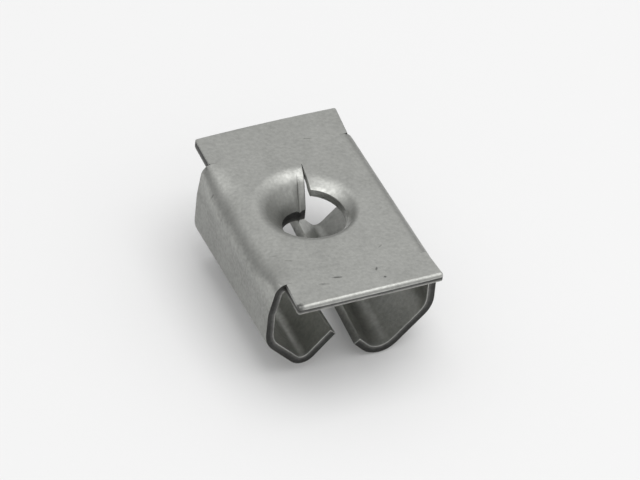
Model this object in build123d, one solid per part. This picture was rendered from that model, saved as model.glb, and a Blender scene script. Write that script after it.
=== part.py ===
from build123d import *
from math import cos, radians, sin, tan
import os

# Snap-in speed nut: one strip of spring steel, blanked, formed and folded in one piece.
# A rectangular plate carries a one-turn thread form round its screw hole. Its long sides are
# folded down into legs that bulge outwards, ramp back under the plate and turn up again in a
# sprung lip. The plate's two ends overhang the legs and bear on the panel.
#
# Frame: millimetres. The origin is on the screw's axis in the plane of the plate's underside,
# X runs across the plate, Y along it, and Z up out of the plate.

# Strip and plate
thickness = 0.53
plate_width = 9.35        # where its ends leave the legs
front_overhang = 2.25     # how far the ends reach past the legs
front_flare = 0.13        # how much wider each side is at the front edge
back_overhang = 2.48
back_flare = 0.08
back_skew = 0.2           # how far the back edge lies to one side
back_edge_bow = 0.08      # how far it bows outwards at its middle
plate_shift_x = 0.12      # the legs' middle, from the screw's axis
plate_shift_y = 0.09
corner_radius = 0.14
edge_roll = 0.2           # die roll that blanking leaves on the ends' upper edges

# Legs, on their outer faces. Half widths are from the legs' middle, drops from the plate's top.
leg_length = 11.7
flat_half_width = 4.05    # the flat of the plate between the legs
neck_reach = 0.7          # from the flat to the neck's corner
neck_radius = 0.75
shoulder_drop = 2.2
shoulder_radius = 2.4
bulge_reach = 0.7         # from the neck's corner to the bulge
bulge_radius = 1.9
ramp_angle = 45.5         # degrees below level
ramp_drop = 4.85          # where the ramp's line would cross the bulge's half width
lip_angle = 47.0          # degrees above level

# The folds were made a little askew to the blank, so the four leg ends differ
left_front_neck_spread = 0.5
left_front_bulge_spread = 0.25
left_front_fold = 3.03
left_front_fold_radius = 1.03
left_front_lip = 3.1
left_back_bulge_spread = -0.12
left_back_fold = 2.6
left_back_fold_radius = 1.3
left_back_lip = 2.85
right_front_bulge_spread = 0.15
right_front_fold = 2.15
right_front_fold_radius = 1.6
right_front_lip = 2.57
right_back_bulge_spread = 0.5
right_back_ramp_spread = 0.85
right_back_fold = 3.14
right_back_fold_radius = 1.03
right_back_lip = 3.2

# Thread form: the hole's rim falls by one pitch on its way round, clockwise from the slit
hole_radius = 1.96
rim_drop = 0.14           # the rim's upper end, below the plate's top
thread_pitch = 1.65
slope_width = 0.67        # the formed slope round the rim, seen from above
slope_growth = 0.75       # how much wider it has grown after the whole turn
slope_shift = 0.56        # and how far it lies towards one side of the hole
slope_shift_angle = 110.0
slope_sag = 0.016         # the slope's hollow at the start of the turn
slope_sag_growth = 0.16   # how much deeper it has grown after the whole turn
margin_reach = 0.28       # half the bend from the slope to the flat
margin_fall = 0.6         # how steeply the bend's inner half falls, against the slope
tool_radius = 3.9         # the round area that the forming tool works on
tool_offset = 0.35        # that area's middle, from the hole towards the plate's back
slit_angle = 78.0         # degrees from X
slit_width = 0.16
cutter_height = 8 * thickness + 2 * thread_pitch
section_count = 37        # round the turn
station_count = 4         # across the slope's lower face


def overhang(end, reach, flare, skew=0, bow=0):
    """One end of the plate past the legs; end is +1 for the back and -1 for the front."""
    half_root = plate_width / 2
    left_tip = skew - half_root - flare
    right_tip = skew + half_root + flare
    root_y = end * leg_length / 2
    tip_y = root_y + end * reach
    right_side = Line((half_root, root_y), (right_tip, tip_y))
    left_side = Line((left_tip, tip_y), (-half_root, root_y))
    root = Line((-half_root, root_y), (half_root, root_y))
    if bow > 0:
        tip = ThreePointArc((right_tip, tip_y), (skew, tip_y + end * bow), (left_tip, tip_y))
    else:
        tip = Line((right_tip, tip_y), (left_tip, tip_y))
    plate_end = extrude(make_face([right_side, tip, left_side, root]), thickness, dir=(0, 0, 1))
    corners = plate_end.edges().filter_by(Axis.Z).sort_by(Axis.Y)
    corners = corners[-2:] if end > 0 else corners[:2]
    plate_end = fillet(corners, corner_radius)
    upper_edges = plate_end.faces().sort_by(Axis.Z)[-1].edges()
    blanked = upper_edges.filter_by(lambda edge: abs(edge.center().Y - root_y) > edge_roll / 2)
    return fillet(blanked, edge_roll)


def strip_section(plane, points, radii):
    """A section of the strip in a plane, hanging under a bent line of points."""
    upper = FilletPolyline(*points, radius=radii)
    section = offset(upper, thickness, side=Side.RIGHT)
    return plane * make_face(section.edges())


def leg_section(y, fold, fold_radius, lip, neck_spread=0, bulge_spread=0, ramp_spread=0):
    """The section of a leg across the plate at y, on the +X side."""
    neck = flat_half_width + neck_reach
    bulge_line = neck + bulge_reach
    bulge = bulge_line + bulge_spread

    def ramp_z(x):
        return thickness - ramp_drop - ramp_spread - (bulge_line - x) * tan(radians(ramp_angle))

    lip_tip = (fold - lip * cos(radians(lip_angle)), ramp_z(fold) + lip * sin(radians(lip_angle)))
    points = [
        (flat_half_width, thickness),
        (neck + neck_spread, thickness),
        (bulge, thickness - shoulder_drop),
        (bulge, ramp_z(bulge)),
        (fold, ramp_z(fold)),
        lip_tip,
    ]
    radii = [neck_radius, shoulder_radius, bulge_radius, fold_radius]
    return strip_section(Plane.XZ.offset(-y), points, radii)


def right_leg():
    """The leg on +X."""
    front = leg_section(
        -leg_length / 2, right_front_fold, right_front_fold_radius, right_front_lip,
        bulge_spread=right_front_bulge_spread,
    )
    back = leg_section(
        leg_length / 2, right_back_fold, right_back_fold_radius, right_back_lip,
        bulge_spread=right_back_bulge_spread, ramp_spread=right_back_ramp_spread,
    )
    return loft([front, back], ruled=True)


def left_leg():
    """The leg on -X."""
    front = leg_section(
        -leg_length / 2, left_front_fold, left_front_fold_radius, left_front_lip,
        neck_spread=left_front_neck_spread, bulge_spread=left_front_bulge_spread,
    )
    back = leg_section(
        leg_length / 2, left_back_fold, left_back_fold_radius, left_back_lip,
        bulge_spread=left_back_bulge_spread,
    )
    return mirror(loft([front, back], ruled=True), about=Plane.YZ)


def folded_plate():
    """The plate with its overhangs and legs, before the hole is pierced and formed."""
    flat = Pos(0, 0, thickness / 2) * Box(2 * flat_half_width, leg_length, thickness)
    plate = flat + overhang(-1, front_overhang, front_flare)
    plate = plate + overhang(1, back_overhang, back_flare, back_skew, back_edge_bow)
    plate = plate + left_leg() + right_leg()
    return Pos(plate_shift_x, plate_shift_y, 0) * plate


def tool_area():
    """The round area that is formed, as a cutter taller than the form."""
    return Pos(0, tool_offset, 0) * Cylinder(tool_radius, cutter_height)


def slope_line(turn, angle):
    """The formed slope's upper line at a share of the turn, from inside the hole to the flat."""
    shift = slope_shift * cos(angle - radians(slope_shift_angle))
    width = slope_width + slope_growth * turn + shift
    fall = rim_drop + thread_pitch * turn
    sag = slope_sag + slope_sag_growth * turn
    steepness = (fall / 2 - sag) / (width / 2)
    slackness = (fall / 2 + sag) / (width / 2)
    inner = (hole_radius - thickness, thickness - fall - steepness * thickness)
    middle = (hole_radius + width / 2, thickness - fall / 2 - sag)
    bend_z = thickness - slackness * margin_reach * margin_fall
    bend = (hole_radius + width - margin_reach / 2, bend_z)
    margin = (hole_radius + width + margin_reach, thickness)
    return Spline(inner, middle, bend, margin, tangents=[(1, steepness), (1, 0)])


def lower_line(slope):
    """The slope's line on the sheet's lower face."""
    stations = [i / (station_count - 1) for i in range(station_count)]
    tangents = [slope % station for station in stations]
    points = [
        slope @ station + thickness * Vector(tangent.Y, -tangent.X)
        for station, tangent in zip(stations, tangents)
    ]
    return Spline(*points, tangents=[tangents[0], tangents[-1]])


def form_section(turn):
    """The thread form's section at a share of the turn, clockwise from the slit."""
    half_gap = slit_width / 2 / tool_radius
    angle = radians(slit_angle) - half_gap - turn * (radians(360) - 2 * half_gap)
    slope = slope_line(turn, angle)
    under = lower_line(slope)
    rim_x = tool_radius + 2 * tool_offset
    outline = [
        slope,
        Line(slope @ 1, (rim_x, thickness)),
        Line((rim_x, thickness), (rim_x, 0)),
        Line((rim_x, 0), under @ 1),
        under,
        Line(under @ 0, slope @ 0),
    ]
    across = (sin(angle), -cos(angle), 0)
    plane = Plane(origin=(0, 0, 0), x_dir=(cos(angle), sin(angle), 0), z_dir=across)
    return plane * make_face(outline)


def thread_form():
    """The formed area round the hole, open at the slit."""
    sections = [form_section(i / (section_count - 1)) for i in range(section_count)]
    return loft(sections, ruled=True) & tool_area()


def screw_hole():
    """The hole, cut straight through the formed sheet."""
    return Cylinder(hole_radius, cutter_height)


def slit():
    """The slit from the hole to the edge of the formed area, between the thread's two ends."""
    cutter = Pos(tool_radius / 2, 0, 0) * Box(tool_radius, slit_width, cutter_height)
    return Rot(0, 0, slit_angle) * cutter


def speed_nut():
    """The whole strip."""
    strip = (folded_plate() - tool_area()) + thread_form()
    strip = strip - screw_hole() - slit()
    strip.label = "speed_nut"
    strip.color = Color(0.62, 0.63, 0.61)
    return strip


os.makedirs("parts", exist_ok=True)
export_step(speed_nut(), "parts/speed_nut.step")
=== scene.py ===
from math import asin, atan2, cos, pi, radians, sin, sqrt, tan

import bmesh
import bpy
from mathutils import Matrix, Vector


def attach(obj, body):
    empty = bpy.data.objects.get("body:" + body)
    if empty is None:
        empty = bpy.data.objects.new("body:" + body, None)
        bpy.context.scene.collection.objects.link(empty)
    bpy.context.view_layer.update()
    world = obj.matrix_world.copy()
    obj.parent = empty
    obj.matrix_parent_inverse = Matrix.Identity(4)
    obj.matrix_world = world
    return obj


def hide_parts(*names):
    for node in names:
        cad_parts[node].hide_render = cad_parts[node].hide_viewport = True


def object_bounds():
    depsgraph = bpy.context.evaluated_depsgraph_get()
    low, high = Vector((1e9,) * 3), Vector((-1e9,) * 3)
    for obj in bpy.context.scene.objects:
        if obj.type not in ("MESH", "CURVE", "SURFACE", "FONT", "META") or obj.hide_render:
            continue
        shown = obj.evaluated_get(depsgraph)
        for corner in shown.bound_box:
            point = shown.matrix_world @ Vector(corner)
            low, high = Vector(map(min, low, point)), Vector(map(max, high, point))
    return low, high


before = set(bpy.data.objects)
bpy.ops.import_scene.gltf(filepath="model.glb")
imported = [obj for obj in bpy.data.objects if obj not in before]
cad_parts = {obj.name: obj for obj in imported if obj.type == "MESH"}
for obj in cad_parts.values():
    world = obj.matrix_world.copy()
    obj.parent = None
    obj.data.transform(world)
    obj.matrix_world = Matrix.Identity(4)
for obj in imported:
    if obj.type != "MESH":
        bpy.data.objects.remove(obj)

cad_box = [list(corner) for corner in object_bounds()]
mm = 0.001

# Camera: a long lens, well back, looking down on the nut's front left corner.
# It is turned a little about its own axis, so that the nut leans.
camera_data = bpy.data.cameras.new("camera")
camera_data.sensor_width = 36
camera_data.lens = 394.8
camera = bpy.data.objects.new("camera", camera_data)
bpy.context.scene.collection.objects.link(camera)
bpy.context.scene.camera = camera
azimuth, elevation, lean = radians(-27.97), radians(40.92), radians(6)
towards_camera = Vector((sin(azimuth) * cos(elevation), -cos(azimuth) * cos(elevation), sin(elevation)))
aim = Vector((-0.144, -1.215, -0.922)) * mm
camera_distance = 427.5 * mm
level = Vector((0, 0, 1)).cross(towards_camera).normalized()
plumb = towards_camera.cross(level)
rightwards = cos(lean) * level + sin(lean) * plumb
upwards = cos(lean) * plumb - sin(lean) * level
turn_camera = Matrix((rightwards, upwards, towards_camera)).transposed().to_4x4()
camera.matrix_world = Matrix.Translation(aim + camera_distance * towards_camera) @ turn_camera

# Floor: a plain, pale, matt table top that the folds of the legs rest on. It glows very slightly, as a
# translucent table lit from below does, which keeps the shadow soft.
floor_size = 1.2
bpy.ops.object.select_all(action="DESELECT")
bpy.ops.mesh.primitive_plane_add(size=floor_size, location=(0, 0, cad_box[0][2]))
floor = bpy.context.object
floor.name = "floor"
pale = bpy.data.materials.new("pale_floor")
pale.use_nodes = True
floor_shader = pale.node_tree.nodes["Principled BSDF"]
floor_shader.inputs["Base Color"].default_value = (0.7, 0.7, 0.7, 1)
floor_shader.inputs["Roughness"].default_value = 0.9
floor_shader.inputs["Emission Color"].default_value = (1, 1, 1, 1)
floor_shader.inputs["Emission Strength"].default_value = 0.1
floor.data.materials.append(pale)

# Light: one wide soft box overhead, a little to the right, in a pale room that is brightest above and
# darkest at the horizon, which gives the bent steel its soft bands.
box_data = bpy.data.lights.new("overhead", "AREA")
box_data.shape = "RECTANGLE"
box_data.size = box_data.size_y = 0.35
box_data.energy = 0.8
soft_box = bpy.data.objects.new("overhead", box_data)
soft_box.location = (0.06, -0.04, 0.42)
bpy.context.scene.collection.objects.link(soft_box)
bpy.context.scene.view_settings.view_transform = "Standard"
room = bpy.data.worlds.new("room")
bpy.context.scene.world = room
room.use_nodes = True
nodes, links = room.node_tree.nodes, room.node_tree.links
direction = nodes.new("ShaderNodeTexCoord")
height = nodes.new("ShaderNodeVectorMath")
height.operation = "DOT_PRODUCT"
height.inputs[1].default_value = (0.14, -0.14, 0.98)
brightness = nodes.new("ShaderNodeValToRGB")
brightness.color_ramp.interpolation = "EASE"
brightness.color_ramp.elements[0].color = (0.35, 0.35, 0.35, 1)
brightness.color_ramp.elements[1].color = (1.3, 1.3, 1.3, 1)
for position, value in ((0.3, 0.45), (0.6, 0.66), (0.7, 0.82), (0.85, 1.02)):
    stop = brightness.color_ramp.elements.new(position)
    stop.color = (value, value, value, 1)
links.new(direction.outputs["Generated"], height.inputs[0])
links.new(height.outputs["Value"], brightness.inputs["Fac"])
links.new(brightness.outputs["Color"], nodes["Background"].inputs["Color"])

# Speed nut: one strip of spring steel, blanked, pierced, formed into a turn of thread and folded. Its
# upper face is drawn first, in millimetres: a grid is wrapped round the screw's axis, from the hole's rim
# to the outline of the flat. The legs and the plate's two ends are then drawn out from that outline.
thickness = 0.53
leg_length = 11.7
flat_half_width = 4.05
middle = Vector((0.12, 0.09))
left_side, right_side = middle.x - flat_half_width, middle.x + flat_half_width
front_root, back_root = middle.y - leg_length / 2, middle.y + leg_length / 2


def bent_line(points, radii, steps):
    """A line of points that rounds its inner points with arcs, always with the same count of points."""
    line = [Vector(points[0])]
    for before, corner, after, radius in zip(points, points[1:], points[2:], radii):
        corner = Vector(corner)
        back = (Vector(before) - corner).normalized()
        on = (Vector(after) - corner).normalized()
        half = back.angle(on) / 2
        centre = corner + (back + on).normalized() * radius / sin(half)
        bisector = (corner - centre).normalized()
        along = (on - back).normalized()
        for step in range(steps + 1):
            turn = (pi - 2 * half) * (step / steps - 0.5)
            line.append(centre + radius * (cos(turn) * bisector + sin(turn) * along))
    line.append(Vector(points[-1]))
    return line


hole_radius = 1.96
rim_drop, thread_pitch = 0.14, 1.65
slope_width, slope_growth, slope_shift = 0.95, 0.75, 0.56
widest_angle = radians(110)
slope_share = 0.64
form_steps = 14


def form_line(turn, angle):
    """The formed sheet along one ray from the screw's axis, as (radius, height).

    It is a slope that eases into the flat. turn is the share of the turn of thread done at the ray.
    """
    width = slope_width + slope_growth * turn + slope_shift * cos(angle - widest_angle)
    fall = rim_drop + thread_pitch * turn
    slope = slope_share * 2 * atan2(fall, width)
    corner = hole_radius + fall / tan(slope)
    radius = (hole_radius + width - corner) / tan(slope / 2)
    points = [(hole_radius, thickness - fall), (corner, thickness), (hole_radius + 2 * width, thickness)]
    rim, *arc, _ = bent_line(points, [radius], form_steps - 2)
    return [rim, rim.lerp(arc[0], 0.5), *arc]


slit_angle = radians(78)
slit_half_width, slit_narrowing, slit_end_gap = 0.08, 0.065, 0.04
tool_radius, tool_offset = 3.9, 0.35
ray_count, tab_rays = 144, 6
outer_steps = 6
tab_width, tab_rings = 0.5, 9
tab_shares = (1, 0.86, 0.79, 0.73, 0.6, 0.42, 0.2, 0)
tab_heights = (0, -0.03, -0.09, -0.07, -0.01, 0.04, 0.08, 0.11)
first_turns = [step / ray_count for step in range(ray_count - tab_rays)]
crown_start, crown_radius, crown_ease = 3.2, 3.3, 3
columns = [(turn, None) for turn in first_turns] + [(1, step) for step in range(len(tab_shares))]
rings = form_steps + 1 + outer_steps


def softness(y):
    """How far the left fold is eased at y: not at all at the leg's ends, and fully along its middle."""
    share = min(1, (leg_length / 2 - abs(y - middle.y)) / crown_ease)
    return share * share * (3 - 2 * share)


def crown_drop(point):
    """How far the flat has already begun to bend down towards the left fold at a point."""
    reach = max(0, middle.x - crown_start - point.x)
    return softness(point.y) * (crown_radius - sqrt(crown_radius**2 - reach**2))


def column_points(turn, tab_step):
    """The points of one column of the sheet, from the hole's rim out to the flat's outline.

    The columns are rays from the screw's axis. The last few run along the slit instead, where its low
    side ends in a tab that is creased and curled up a little.
    """
    ray = slit_angle - turn * 2 * pi
    slit_end = tool_offset * sin(ray) + sqrt(tool_radius**2 - (tool_offset * cos(ray))**2)
    if tab_step is not None:
        ray += tab_width * tab_shares[tab_step] / slit_end
    line = form_line(turn, ray)
    line.append(Vector((slit_end - slit_end_gap, thickness)))
    points = []
    for step, (radius, z) in enumerate(line):
        half_slit = slit_half_width - slit_narrowing * (radius - hole_radius) / (slit_end - hole_radius)
        gap = half_slit / radius
        angle = slit_angle - gap - turn * (2 * pi - 2 * gap)
        if tab_step is not None:
            angle = slit_angle - 2 * pi + (half_slit + tab_width * tab_shares[tab_step]) / radius
            z += tab_heights[tab_step] * max(0, 1 - step / tab_rings)
        points.append(Vector((radius * cos(angle), radius * sin(angle), z)))
    across = (right_side if cos(ray) > 0 else left_side) / cos(ray)
    along = (back_root if sin(ray) > 0 else front_root) / sin(ray)
    outline = min(across, along)
    for step in range(outer_steps):
        radius = slit_end + (outline - slit_end) * step / (outer_steps - 1)
        points.append(Vector((radius * cos(ray), radius * sin(ray), thickness)))
    for point in points:
        point.z -= crown_drop(point)
    return points


bpy.ops.object.select_all(action="DESELECT")
bpy.ops.mesh.primitive_grid_add(x_subdivisions=rings, y_subdivisions=len(columns) - 1, size=1)
strip = bpy.context.object
strip.name = "speed_nut_strip"
grid = {}
for point in strip.data.vertices:
    ring, column = (point.co.x + 0.5) * rings, (point.co.y + 0.5) * (len(columns) - 1)
    grid[round(ring), round(column)] = point
for column, (turn, tab_step) in enumerate(columns):
    for ring, place in enumerate(column_points(turn, tab_step)):
        grid[ring, column].co = place
# The outline's nearest points move into the flat's four corners, and the slit's end is closed.
weld_distance = 0.0005
outline_points = [grid[rings, column] for column in range(len(columns))]
for corner in ((x, y, thickness) for x in (left_side, right_side) for y in (front_root, back_root)):
    min(outline_points, key=lambda point: (point.co - Vector(corner)).length).co = corner
bpy.ops.object.mode_set(mode="EDIT")
bpy.ops.mesh.select_all(action="SELECT")
bpy.ops.mesh.remove_doubles(threshold=weld_distance)
bpy.ops.mesh.select_mode(type="EDGE")


def select_edges(test):
    """Selects the edges that pass a test, and nothing else."""
    bpy.ops.mesh.select_all(action="DESELECT")
    sheet = bmesh.from_edit_mesh(strip.data)
    for edge in sheet.edges:
        edge.select_set(test(edge))
    bmesh.update_edit_mesh(strip.data)


def select_outline(test):
    """Selects the sheet's open edges whose two ends both pass a test."""
    select_edges(lambda edge: edge.is_boundary and all(test(point.co) for point in edge.verts))


def draw_out(place):
    """Extrudes the selected edges and moves each new point to its place."""
    bpy.ops.mesh.extrude_edges_move()
    sheet = bmesh.from_edit_mesh(strip.data)
    for point in sheet.verts:
        if point.select:
            point.co = place(point.co)
    bmesh.update_edit_mesh(strip.data)


# Speed nut, legs: each hangs from one long side of the flat. It bulges outwards, ramps back under the
# plate and turns up in a sprung lip. The folds run askew, so a leg's line at its front differs from that
# at its back.
neck, neck_radius = 4.75, 0.75
bulge, bulge_radius = 5.45, 1.9
shoulder_drop, shoulder_radius = 2.2, 2.4
ramp_drop, ramp_angle = 4.85, radians(45.5)
lip_angle = radians(47)
eased_neck_reach, eased_neck_radius = 0.07, 1.25
bend_steps = 8
touch = 1e-5


def leg_line(fold, fold_radius, lip, neck_spread=0, bulge_spread=0, ramp_spread=0, eased=False):
    """A leg's outer face at one end, as (x from the legs' middle, z), from the flat to the lip's edge.

    An eased leg goes on from the flat's crown and bends at a rounder neck, close to the bulge.
    """
    def ramp_z(x):
        return thickness - ramp_drop - ramp_spread - (bulge - x) * tan(ramp_angle)

    bulge_x = bulge + bulge_spread
    root = (flat_half_width, thickness)
    neck_point = (neck + neck_spread, thickness)
    radius = neck_radius
    if eased:
        turn = asin((flat_half_width - crown_start) / crown_radius)
        root = (flat_half_width, thickness - crown_radius * (1 - cos(turn)))
        neck_x = bulge_x + eased_neck_reach
        neck_point = (neck_x, root[1] - (neck_x - flat_half_width) * tan(turn))
        radius = eased_neck_radius
    points = [
        root,
        neck_point,
        (bulge_x, thickness - shoulder_drop),
        (bulge_x, ramp_z(bulge_x)),
        (fold, ramp_z(fold)),
        (fold - lip * cos(lip_angle), ramp_z(fold) + lip * sin(lip_angle)),
    ]
    return bent_line(points, [radius, shoulder_radius, bulge_radius, fold_radius], bend_steps)


def draw_leg(side, root, front, back, eased=False):
    """Draws a leg out from the flat's side at x = root; front and back are the sizes of its two ends.

    Between its ends, the leg may follow eased lines.
    """
    lines = [leg_line(**sizes, eased=ease) for ease in (False, eased) for sizes in (front, back)]
    select_outline(lambda co: abs(co.x - root) < touch)
    for front_point, back_point, eased_front, eased_back in list(zip(*lines))[1:]:
        def place(co):
            share = (co.y - front_root) / leg_length
            sharp_point = front_point.lerp(back_point, share)
            point = sharp_point.lerp(eased_front.lerp(eased_back, share), softness(co.y))
            return Vector((middle.x + side * point.x, co.y, point.y))

        draw_out(place)


draw_leg(
    1, right_side,
    front=dict(fold=2.15, fold_radius=1.6, lip=2.57, bulge_spread=0.15),
    back=dict(fold=3.14, fold_radius=1.03, lip=3.2, bulge_spread=0.5, ramp_spread=0.85),
)
draw_leg(
    -1, left_side,
    front=dict(fold=3.03, fold_radius=1.03, lip=3.1, neck_spread=0.5, bulge_spread=0.25),
    back=dict(fold=2.6, fold_radius=1.3, lip=2.85, neck_spread=0.35, bulge_spread=-0.12),
    eased=True,
)

# Speed nut, the plate's ends: they reach past the legs and bear on the panel. Each widens to the plate's
# full width just clear of the legs' cut edges. The back edge lies a little to one side and bows outwards.
half_root = 4.675
root_clearance = 0.02


def draw_end(end, root, reach, flare, skew=0, bow=0):
    """Draws an end out from the flat's edge at y = root, and fills the corners beside the legs' necks."""
    half_tip = half_root + flare
    tip_y = root + end * reach

    def place(co):
        share = (co.x - middle.x) / flat_half_width
        return Vector((middle.x + skew + share * half_tip, tip_y + end * bow * (1 - share**2), thickness))

    select_outline(
        lambda co: abs(co.y - root) < touch and left_side - touch < co.x < right_side + touch and co.z > 0
    )
    draw_out(place)
    sheet = bmesh.from_edit_mesh(strip.data)
    for side in (-1, 1):
        inner = Vector((middle.x + side * flat_half_width, root, thickness))
        tip = Vector((middle.x + skew + side * half_tip, tip_y, thickness))
        corners = [min(sheet.verts, key=lambda v: (v.co - corner).length) for corner in (inner, tip)]
        shoulder = (middle.x + side * half_root, root + end * root_clearance, thickness)
        sheet.faces.new([*corners, sheet.verts.new(shoulder)])
    bmesh.update_edit_mesh(strip.data)


draw_end(-1, front_root, reach=2.25, flare=0.13)
draw_end(1, back_root, reach=2.48, flare=0.08, skew=0.2, bow=0.08)
bpy.ops.mesh.select_all(action="SELECT")
bpy.ops.mesh.normals_make_consistent()
sheet = bmesh.from_edit_mesh(strip.data)
if sum(face.normal.z * face.calc_area() for face in sheet.faces if face.calc_center_median().z > 0) < 0:
    bpy.ops.mesh.flip_normals()
bpy.ops.object.mode_set(mode="OBJECT")

# Speed nut, thickness and edges: the sheet's thickness lies below its upper face, and the hole is cut
# straight through. The blanking die rolled the ends' upper edges over, most at the front, and left a burr
# below. Other edges are a little worn, and the slit, the hole beside it and the lips are burnished.
corner_radius, edge_roll, side_roll_share, wear = 0.14, 0.26, 0.2, 0.035
burr_depth = 1.15
on_cut, hair = 0.01, 1e-4
sharp_angle = radians(50)
steel = bpy.data.materials.new("spring_steel")
sheared = bpy.data.materials.new("sheared_steel")
strip.data.materials.append(steel)
strip.data.materials.append(sheared)
upper_count = len(strip.data.vertices)
solid = strip.modifiers.new("thickness", "SOLIDIFY")
solid.thickness = thickness
solid.offset = -1
solid.use_even_offset = True
solid.material_offset_rim = 1
bpy.ops.object.modifier_apply(modifier=solid.name)
# How deep a point lies in a cut, from 0 at the upper face to 1 at the lower, and more at the front burr.
depth = strip.data.attributes.new("cut_depth", "FLOAT", "POINT")
for point in strip.data.vertices:
    depth.data[point.index].value = float(point.index >= upper_count)
points = strip.data.vertices
for upper, lower in zip(points[:upper_count], points[upper_count:]):
    if lower.co.y < front_root - 1:
        depth.data[lower.index].value = burr_depth
    if abs(upper.co.xy.length - hole_radius) < hair:
        angle = atan2(upper.co.y, upper.co.x)
        rim, above = form_line((slit_angle - angle) / (2 * pi) % 1, angle)[:2]
        slope = (above.y - rim.y) / (above.x - rim.x)
        overrun = lower.co.xy.length - hole_radius
        lower.co = (hole_radius * cos(angle), hole_radius * sin(angle), lower.co.z - slope * overrun)


def on_end(co, margin=0.05):
    """Whether a point is on one of the plate's ends, by more than a margin."""
    return co.z > -hair and abs(co.y - middle.y) > leg_length / 2 + margin


def upright(edge):
    """Whether an edge runs straight down through the sheet."""
    return edge.verts[0].co.xy == edge.verts[1].co.xy


# The burnished cuts look like the rest of the steel.
form_reach = tool_radius + tool_offset + 0.1
tab_side, ramp_top = 0.45, -2.5
for face in strip.data.polygons:
    radius = face.center.xy.length
    in_slit = face.center.y > hole_radius and radius < form_reach
    beside_slit = abs(radius - hole_radius) < on_cut and face.center.x > tab_side
    on_lip = face.center.z < ramp_top and abs(face.normal.y) < 0.5
    if in_slit or beside_slit or on_lip:
        face.material_index = 0

# Each end's upper and lower face become one face, so that the bevels run evenly round it.
level_share = 0.99
bpy.ops.object.mode_set(mode="EDIT")
bpy.ops.mesh.select_mode(type="FACE")
for up in (1, -1):
    for end in (1, -1):
        bpy.ops.mesh.select_all(action="DESELECT")
        sheet = bmesh.from_edit_mesh(strip.data)
        for face in sheet.faces:
            centre = face.calc_center_median()
            faces_up = face.normal.z * up > level_share
            face.select_set(faces_up and (centre.y - middle.y) * end > 0 and on_end(centre, 0))
        bmesh.update_edit_mesh(strip.data)
        bpy.ops.mesh.dissolve_faces()
bpy.ops.mesh.select_mode(type="EDGE")


def select_sharp(test):
    """Selects the sharp edges that pass a test."""
    select_edges(lambda edge: edge.is_manifold and edge.calc_face_angle() > sharp_angle and test(edge))


select_sharp(lambda edge: all(on_end(point.co, 1) for point in edge.verts) and upright(edge))
bpy.ops.mesh.bevel(offset=corner_radius, segments=3, affect="EDGES", clamp_overlap=False)
select_sharp(
    lambda edge: all(point.co.z > thickness - hair for point in edge.verts)
    and any(on_end(point.co) for point in edge.verts)
)
sheet = bmesh.from_edit_mesh(strip.data)
front_tip = min(point.co.y for point in sheet.verts)
roll_share = sheet.edges.layers.float.new("bevel_weight_edge")
for edge in sheet.edges:
    if edge.select:
        from_tip = (edge.verts[0].co.y + edge.verts[1].co.y) / 2 - front_tip
        edge[roll_share] = max(side_roll_share, 1 - from_tip / corner_radius)
bmesh.update_edit_mesh(strip.data)
bpy.ops.object.mode_set(mode="OBJECT")
roll = strip.modifiers.new("edge_roll", "BEVEL")
roll.limit_method = "WEIGHT"
roll.width = edge_roll
roll.segments = 4
roll.use_clamp_overlap = False
roll.material = 0
bpy.ops.object.modifier_apply(modifier=roll.name)
strip.data.attributes.remove(strip.data.attributes["bevel_weight_edge"])
bpy.ops.object.mode_set(mode="EDIT")
slit_end = Vector((cos(slit_angle), sin(slit_angle))) * (tool_radius + tool_offset - on_cut)
slit_end_reach, notch_reach, notch_side, notch_bottom = 0.15, 0.03, 4.9, -0.7


def shielded(co):
    """Whether a point lies at the slit's end, or in a notch between an end of the plate and a leg."""
    beside_leg_end = abs(abs(co.y - middle.y) - leg_length / 2) < notch_reach
    in_notch = beside_leg_end and abs(co.x - middle.x) < notch_side and co.z > notch_bottom
    return in_notch or (co.xy - slit_end).length < slit_end_reach


select_sharp(lambda edge: not any(shielded(point.co) for point in edge.verts))
bpy.ops.mesh.bevel(offset=wear, segments=2, affect="EDGES", clamp_overlap=False, material=0)
bpy.ops.object.mode_set(mode="OBJECT")
for point in strip.data.vertices:
    point.co.y = max(point.co.y, front_tip)

strip.scale = (mm, mm, mm)
bpy.ops.object.transform_apply(scale=True)
bpy.ops.object.shade_smooth_by_angle(angle=sharp_angle)
flatness = strip.modifiers.new("flatness", "WEIGHTED_NORMAL")
flatness.weight = 90
flatness.keep_sharp = True
bpy.ops.object.modifier_apply(modifier=flatness.name)

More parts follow.
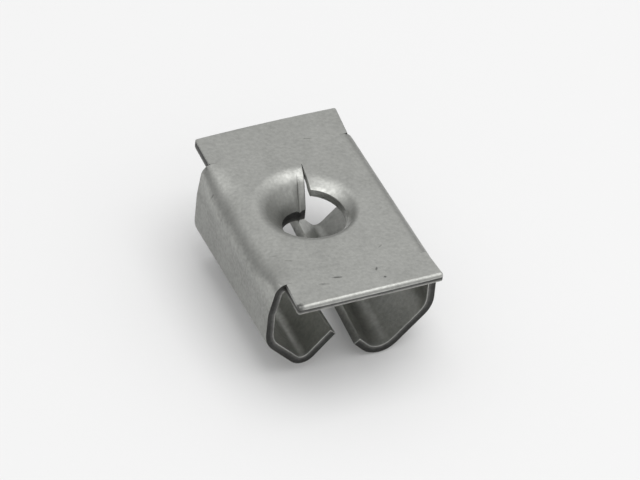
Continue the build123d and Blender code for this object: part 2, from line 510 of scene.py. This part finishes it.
# Speed nut, finish: dull zinc plating over spring steel, clouded and finely grained by tumbling, with a
# few nicks. Painted shade darkens the legs' outer faces and the low parts of their inner faces, and
# painted light brightens the inner faces towards the top. Where the tools sheared the sheet, the cut is
# dark and rough, darkest just below its upper edge and light along the burr.
finish = bpy.data.node_groups.new("tumbled_plating", "ShaderNodeTree")
for name in ("Cloud Size", "Cloud Strength", "Grain Size", "Grain Strength"):
    finish.interface.new_socket(name=name, in_out="INPUT", socket_type="NodeSocketFloat")
finish.interface.new_socket(name="Tone", in_out="OUTPUT", socket_type="NodeSocketFloat")
finish.interface.new_socket(name="Height", in_out="OUTPUT", socket_type="NodeSocketFloat")
nodes, links = finish.nodes, finish.links
given, put_out = nodes.new("NodeGroupInput"), nodes.new("NodeGroupOutput")
place = nodes.new("ShaderNodeTexCoord")
tones = []
for layer in ("Cloud", "Grain"):
    scale = nodes.new("ShaderNodeMath")
    scale.operation = "DIVIDE"
    scale.inputs[0].default_value = 1
    links.new(given.outputs[layer + " Size"], scale.inputs[1])
    noise = nodes.new("ShaderNodeTexNoise")
    noise.inputs["Detail"].default_value = 3
    links.new(place.outputs["Object"], noise.inputs["Vector"])
    links.new(scale.outputs["Value"], noise.inputs["Scale"])
    centred = nodes.new("ShaderNodeMath")
    centred.operation = "SUBTRACT"
    centred.inputs[1].default_value = 0.5
    links.new(noise.outputs["Fac"], centred.inputs[0])
    tone = nodes.new("ShaderNodeMath")
    tone.operation = "MULTIPLY"
    links.new(centred.outputs["Value"], tone.inputs[0])
    links.new(given.outputs[layer + " Strength"], tone.inputs[1])
    tones.append(tone)
    if layer == "Grain":
        links.new(noise.outputs["Fac"], put_out.inputs["Height"])
both = nodes.new("ShaderNodeMath")
links.new(tones[0].outputs["Value"], both.inputs[0])
links.new(tones[1].outputs["Value"], both.inputs[1])
around_one = nodes.new("ShaderNodeMath")
around_one.inputs[1].default_value = 1
links.new(both.outputs["Value"], around_one.inputs[0])
links.new(around_one.outputs["Value"], put_out.inputs["Tone"])

nick = bpy.data.node_groups.new("nick", "ShaderNodeTree")
for name in ("Place", "Turn", "Half Size"):
    nick.interface.new_socket(name=name, in_out="INPUT", socket_type="NodeSocketVector")
nick.interface.new_socket(name="Strength", in_out="INPUT", socket_type="NodeSocketFloat")
nick.interface.new_socket(name="Mask", in_out="OUTPUT", socket_type="NodeSocketFloat")
nodes, links = nick.nodes, nick.links
given, put_out = nodes.new("NodeGroupInput"), nodes.new("NodeGroupOutput")
place = nodes.new("ShaderNodeTexCoord")
local = nodes.new("ShaderNodeMapping")
local.vector_type = "TEXTURE"
ragged = nodes.new("ShaderNodeTexNoise")
ragged.inputs["Scale"].default_value = 6000
reach = nodes.new("ShaderNodeVectorMath")
reach.operation = "LENGTH"
torn = nodes.new("ShaderNodeMath")
edge = nodes.new("ShaderNodeMapRange")
edge.inputs["From Min"].default_value = 1.7
edge.inputs["From Max"].default_value = 1.1
links.new(place.outputs["Object"], local.inputs["Vector"])
links.new(place.outputs["Object"], ragged.inputs["Vector"])
links.new(given.outputs["Place"], local.inputs["Location"])
links.new(given.outputs["Turn"], local.inputs["Rotation"])
links.new(given.outputs["Half Size"], local.inputs["Scale"])
links.new(local.outputs["Vector"], reach.inputs[0])
links.new(reach.outputs["Value"], torn.inputs[0])
links.new(ragged.outputs["Fac"], torn.inputs[1])
links.new(torn.outputs["Value"], edge.inputs["Value"])
links.new(given.outputs["Strength"], edge.inputs["To Max"])
links.new(edge.outputs["Result"], put_out.inputs["Mask"])


def add_finish(material, cloud_size, cloud_strength, grain_size, grain_strength, grain_height):
    """Places the tumbled finish in a material: returns its tone, and bumps the surface with its grain."""
    nodes, links = material.node_tree.nodes, material.node_tree.links
    group = nodes.new("ShaderNodeGroup")
    group.node_tree = finish
    for name, value in (
        ("Cloud Size", cloud_size), ("Cloud Strength", cloud_strength),
        ("Grain Size", grain_size), ("Grain Strength", grain_strength),
    ):
        group.inputs[name].default_value = value
    bump = nodes.new("ShaderNodeBump")
    bump.inputs["Distance"].default_value = grain_height
    links.new(group.outputs["Height"], bump.inputs["Height"])
    links.new(bump.outputs["Normal"], nodes["Principled BSDF"].inputs["Normal"])
    return group.outputs["Tone"]


steel.use_nodes = True
nodes, links = steel.node_tree.nodes, steel.node_tree.links
shader = nodes["Principled BSDF"]
shader.inputs["Metallic"].default_value = 1
tone = add_finish(
    steel, cloud_size=2 * mm, cloud_strength=0.35,
    grain_size=0.22 * mm, grain_strength=0.5, grain_height=0.012 * mm,
)
place = nodes.new("ShaderNodeTexCoord")
height = nodes.new("ShaderNodeSeparateXYZ")
# Painted light and shade by height: the legs' outer faces darken downwards to 0.8 of the tone, and the
# inner faces go from 0.9 (painted shade) low in the folds to 1.25 (painted light) towards the top.
outer_painted_shade = nodes.new("ShaderNodeMapRange")
outer_painted_shade.inputs["From Min"].default_value = -1.4 * mm
outer_painted_shade.inputs["From Max"].default_value = 0
outer_painted_shade.inputs["To Min"].default_value = 0.8
inner = nodes.new("ShaderNodeAttribute")
inner.attribute_name = "cut_depth"
painted_face_shading = nodes.new("ShaderNodeMix")
inner_painted_light_and_shade = nodes.new("ShaderNodeMapRange")
inner_painted_light_and_shade.inputs["From Min"].default_value = -6.6 * mm
inner_painted_light_and_shade.inputs["From Max"].default_value = -4.6 * mm
inner_painted_light_and_shade.inputs["To Min"].default_value = 0.9
inner_painted_light_and_shade.inputs["To Max"].default_value = 1.25
tone_with_painted_shading = nodes.new("ShaderNodeMath")
tone_with_painted_shading.operation = "MULTIPLY"
links.new(place.outputs["Object"], height.inputs["Vector"])
links.new(height.outputs["Z"], outer_painted_shade.inputs["Value"])
links.new(inner.outputs["Fac"], painted_face_shading.inputs["Factor"])
links.new(outer_painted_shade.outputs["Result"], painted_face_shading.inputs["A"])
links.new(height.outputs["Z"], inner_painted_light_and_shade.inputs["Value"])
links.new(inner_painted_light_and_shade.outputs["Result"], painted_face_shading.inputs["B"])
links.new(tone, tone_with_painted_shading.inputs[0])
links.new(painted_face_shading.outputs["Result"], tone_with_painted_shading.inputs[1])
tone = tone_with_painted_shading.outputs["Value"]
nick_depth = 1.2
for place, angle, half_length, half_width, strength in (
    ((-1.35, -6.15), -12, 0.32, 0.07, 0.6),
    ((-2.35, -6.45), -18, 0.32, 0.06, 0.35),
    ((1.25, -6.2), 62, 0.18, 0.07, 0.55),
    ((1.45, -7.05), 0, 0.09, 0.08, 0.65),
    ((2.2, 6.25), -18, 0.28, 0.06, 0.35),
    ((-4.65, -7.9), 30, 0.4, 0.3, 0.6),
    ((2.3, -4.4), 30, 0.22, 0.05, 0.3),
    ((-3.5, -3.8), -30, 0.3, 0.05, 0.25),
    ((-4.1, -3.0), -20, 0.35, 0.05, 0.2),
    ((-5.13, 3.93), 0, 0.09, 0.09, 0.4),
):
    mark = nodes.new("ShaderNodeGroup")
    mark.node_tree = nick
    mark.inputs["Place"].default_value = (place[0] * mm, place[1] * mm, thickness * mm)
    mark.inputs["Turn"].default_value = (0, 0, radians(angle))
    mark.inputs["Half Size"].default_value = (half_length * mm, half_width * mm, nick_depth * mm)
    mark.inputs["Strength"].default_value = strength
    darkened = nodes.new("ShaderNodeMath")
    darkened.operation = "SUBTRACT"
    links.new(tone, darkened.inputs[0])
    links.new(mark.outputs["Mask"], darkened.inputs[1])
    tone = darkened.outputs["Value"]
colour = nodes.new("ShaderNodeVectorMath")
colour.operation = "SCALE"
colour.inputs[0].default_value = (0.395, 0.399, 0.38)
links.new(tone, colour.inputs["Scale"])
links.new(colour.outputs["Vector"], shader.inputs["Base Color"])
dullness = nodes.new("ShaderNodeMapRange")
dullness.inputs["From Min"].default_value = 0.7
dullness.inputs["From Max"].default_value = 1.3
dullness.inputs["To Min"].default_value = 0.6
dullness.inputs["To Max"].default_value = 0.36
links.new(tone, dullness.inputs["Value"])
links.new(dullness.outputs["Result"], shader.inputs["Roughness"])

sheared.use_nodes = True
nodes, links = sheared.node_tree.nodes, sheared.node_tree.links
shader = nodes["Principled BSDF"]
shader.inputs["Metallic"].default_value = 0.9
shader.inputs["Roughness"].default_value = 0.55
tone = add_finish(
    sheared, cloud_size=1.2 * mm, cloud_strength=0.8,
    grain_size=0.15 * mm, grain_strength=0.8, grain_height=0.01 * mm,
)
depth_value = nodes.new("ShaderNodeAttribute")
depth_value.attribute_name = "cut_depth"
zones = nodes.new("ShaderNodeValToRGB")
zones.color_ramp.elements[0].color = (0.13, 0.13, 0.125, 1)
zones.color_ramp.elements[1].color = (0.35, 0.35, 0.335, 1)
for position, value in ((0.12, 0.05), (0.5, 0.06), (0.8, 0.13)):
    stop = zones.color_ramp.elements.new(position)
    stop.color = (value, value, value * 0.96, 1)
shade = nodes.new("ShaderNodeVectorMath")
shade.operation = "SCALE"
links.new(depth_value.outputs["Fac"], zones.inputs["Fac"])
links.new(zones.outputs["Color"], shade.inputs[0])
links.new(tone, shade.inputs["Scale"])
links.new(shade.outputs["Vector"], shader.inputs["Base Color"])

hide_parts("speed_nut")
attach(strip, "root")
